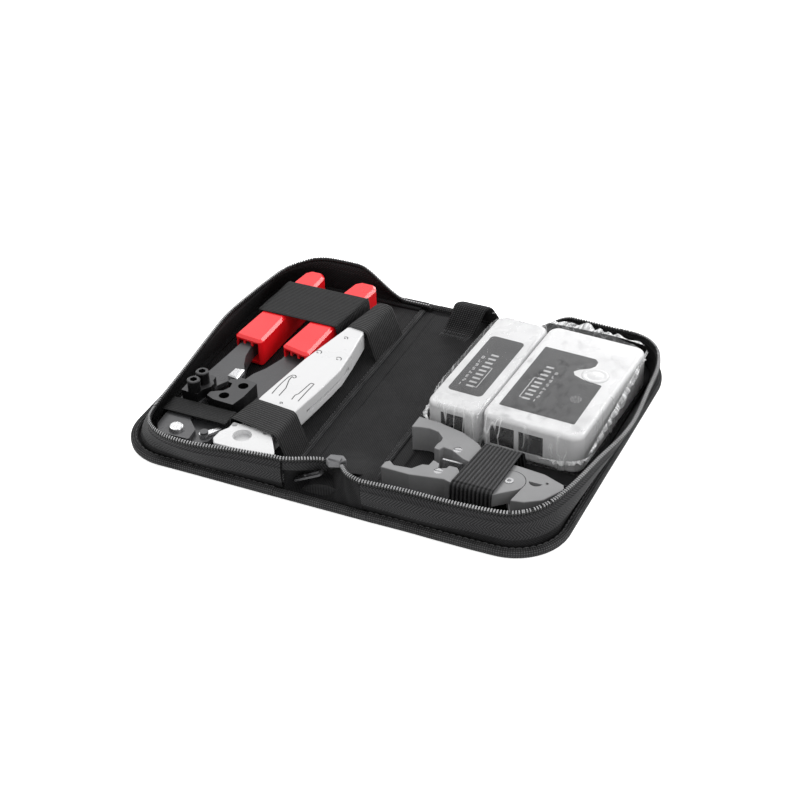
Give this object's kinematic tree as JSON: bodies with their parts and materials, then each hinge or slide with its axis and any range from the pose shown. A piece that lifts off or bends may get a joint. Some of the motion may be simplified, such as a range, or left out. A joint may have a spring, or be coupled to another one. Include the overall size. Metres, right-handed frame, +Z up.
{
  "type": "network installation tool kit",
  "caption": "Fold-open zip case holding a ratchet plug crimper, a punch-down tool, a cable stripper and a two-piece cable tester in a clear bag.",
  "frame": {"origin": "centre of the spine's underside, on the plane the open case rests on", "axes": "+X across the open case to the tester half, +Y to the end with the carry loop, +Z up"},
  "size_m": [0.274, 0.2146, 0.0318],
  "materials": {
    "case_fabric": "woven polyester",
    "binding_tape": "woven tape",
    "lining_twill": "twill",
    "zip_coil": "nylon coil",
    "elastic_band": "ribbed elastic",
    "slider_metal": "dark coated zinc",
    "grey_painted_steel": "satin",
    "black_steel": "blackened",
    "bright_steel": "polished",
    "red_grip": "glossy",
    "white_abs": "glossy",
    "grey_plastic": "satin",
    "label_grey": "printed",
    "light_diffuser": "diffusing",
    "black_plastic": "matt",
    "circuit_green": "solder mask",
    "clear_film": "clear polythene"
  },
  "bodies": {
    "right_half": {"cover_panel_right": "case_fabric", "binding_right": "binding_tape", "lining_right": "lining_twill", "zip_wall_right": "case_fabric", "zip_teeth_right": "zip_coil", "stripper_elastic": "elastic_band", "stripper_far_jaw": "grey_plastic", "stripper_pin_and_screw": "bright_steel", "stripper_blade": "bright_steel"},
    "spine": {"spine_panel": "case_fabric", "spine_binding": "binding_tape", "spine_lining": "lining_twill", "zip_end_tabs": "case_fabric", "carry_loop": "case_fabric", "zip_slider": "slider_metal"},
    "left_half": {"cover_panel_left": "case_fabric", "binding_left": "binding_tape", "lining_left": "lining_twill", "zip_wall_left": "case_fabric", "zip_teeth_left": "zip_coil", "grip_elastic": "elastic_band", "nose_elastic": "elastic_band", "punch_elastic": "elastic_band", "punch_tip_elastic": "elastic_band", "crimper_left_arm": "grey_painted_steel", "crimper_bolt_and_spring": "bright_steel", "crimper_left_die": "black_steel", "crimper_die_bolts": "black_steel", "crimper_cutter_blade": "bright_steel", "crimper_left_grip": "red_grip", "punch_top_shell": "white_abs", "punch_bottom_shell": "white_abs", "punch_pins_and_screws": "bright_steel", "punch_spring": "bright_steel"},
    "zip_pull": {"zip_pull": "slider_metal"},
    "crimper_right": {"crimper_right_arm": "grey_painted_steel", "crimper_right_die": "black_steel", "crimper_right_grip": "red_grip"},
    "crimper_latch": {"crimper_latch": "bright_steel"},
    "punch_plunger": {"punch_head": "white_abs"},
    "punch_knife": {"punch_knife": "bright_steel"},
    "punch_hook": {"punch_hook": "bright_steel"},
    "stripper_near": {"stripper_near_jaw": "grey_plastic", "stripper_near_screw": "bright_steel"},
    "testers": {"master_top_shell": "white_abs", "master_bottom_shell": "white_abs", "master_label": "label_grey", "master_light_windows": "light_diffuser", "master_sockets": "black_plastic", "master_circuit_board": "circuit_green", "master_battery": "black_plastic", "master_battery_door": "white_abs", "remote_top_shell": "white_abs", "remote_bottom_shell": "white_abs", "remote_label": "label_grey", "remote_light_windows": "light_diffuser", "remote_sockets": "black_plastic", "remote_circuit_board": "circuit_green", "tester_bag": "clear_film"},
    "power_switch": {"master_switch": "black_plastic"}
  },
  "joints": [
    {"name": "spine_fold", "type": "hinge", "parent": "right_half", "child": "spine", "pos_m": [0.025, 0, 0.0025], "axis": [0, 1, 0], "range_deg": [0, 90], "deforming": ["zip_end_tabs"]},
    {"name": "left_fold", "type": "hinge", "parent": "spine", "child": "left_half", "pos_m": [-0.025, 0, 0.0025], "axis": [0, 1, 0], "range_deg": [0, 90]},
    {"name": "zip_pull_flop", "type": "hinge", "parent": "spine", "child": "zip_pull", "pos_m": [-0.002, -0.0966, 0.0185], "axis": [0, 1, 0], "range_deg": [0, 180]},
    {"name": "crimper_squeeze", "type": "hinge", "parent": "left_half", "child": "crimper_right", "pos_m": [-0.0996, -0.0914, 0.013], "axis": [0, 0, 1], "range_deg": [0, 6], "stiffness_Nm_per_rad": 4},
    {"name": "latch_swing", "type": "hinge", "parent": "crimper_right", "child": "crimper_latch", "pos_m": [-0.0832, -0.088, 0.016], "axis": [0, 0, 1], "range_deg": [-25, 0]},
    {"name": "head_plunge", "type": "slide", "parent": "left_half", "child": "punch_plunger", "axis": [0, 1, 0], "range_m": [0, 0.005], "stiffness_N_per_m": 1500, "deforming": ["punch_spring"]},
    {"name": "knife_fold", "type": "hinge", "parent": "left_half", "child": "punch_knife", "pos_m": [-0.0407, -0.0426, 0.0168], "axis": [0, 0, 1], "range_deg": [-90, 0]},
    {"name": "hook_fold", "type": "hinge", "parent": "left_half", "child": "punch_hook", "pos_m": [-0.0454, 0.0184, 0.0106], "axis": [0, 0, -1], "range_deg": [-90, 0]},
    {"name": "stripper_squeeze", "type": "hinge", "parent": "right_half", "child": "stripper_near", "pos_m": [0.0975, -0.066, 0.016], "axis": [0, 0, -1], "range_deg": [0, 3.5], "stiffness_Nm_per_rad": 0.8},
    {"name": "tester_lift", "type": "slide", "parent": "right_half", "child": "testers", "axis": [0, 0, -1], "range_m": [-0.1, 0]},
    {"name": "switch_slide", "type": "slide", "parent": "testers", "child": "power_switch", "axis": [0.045, 0.999, 0], "range_m": [0, 0.006]}
  ],
  "couplings": [
    {"joint": "left_fold", "follows": "spine_fold", "ratio": 1},
    {"joint": "zip_pull_flop", "follows": "spine_fold", "ratio": 2}
  ]
}
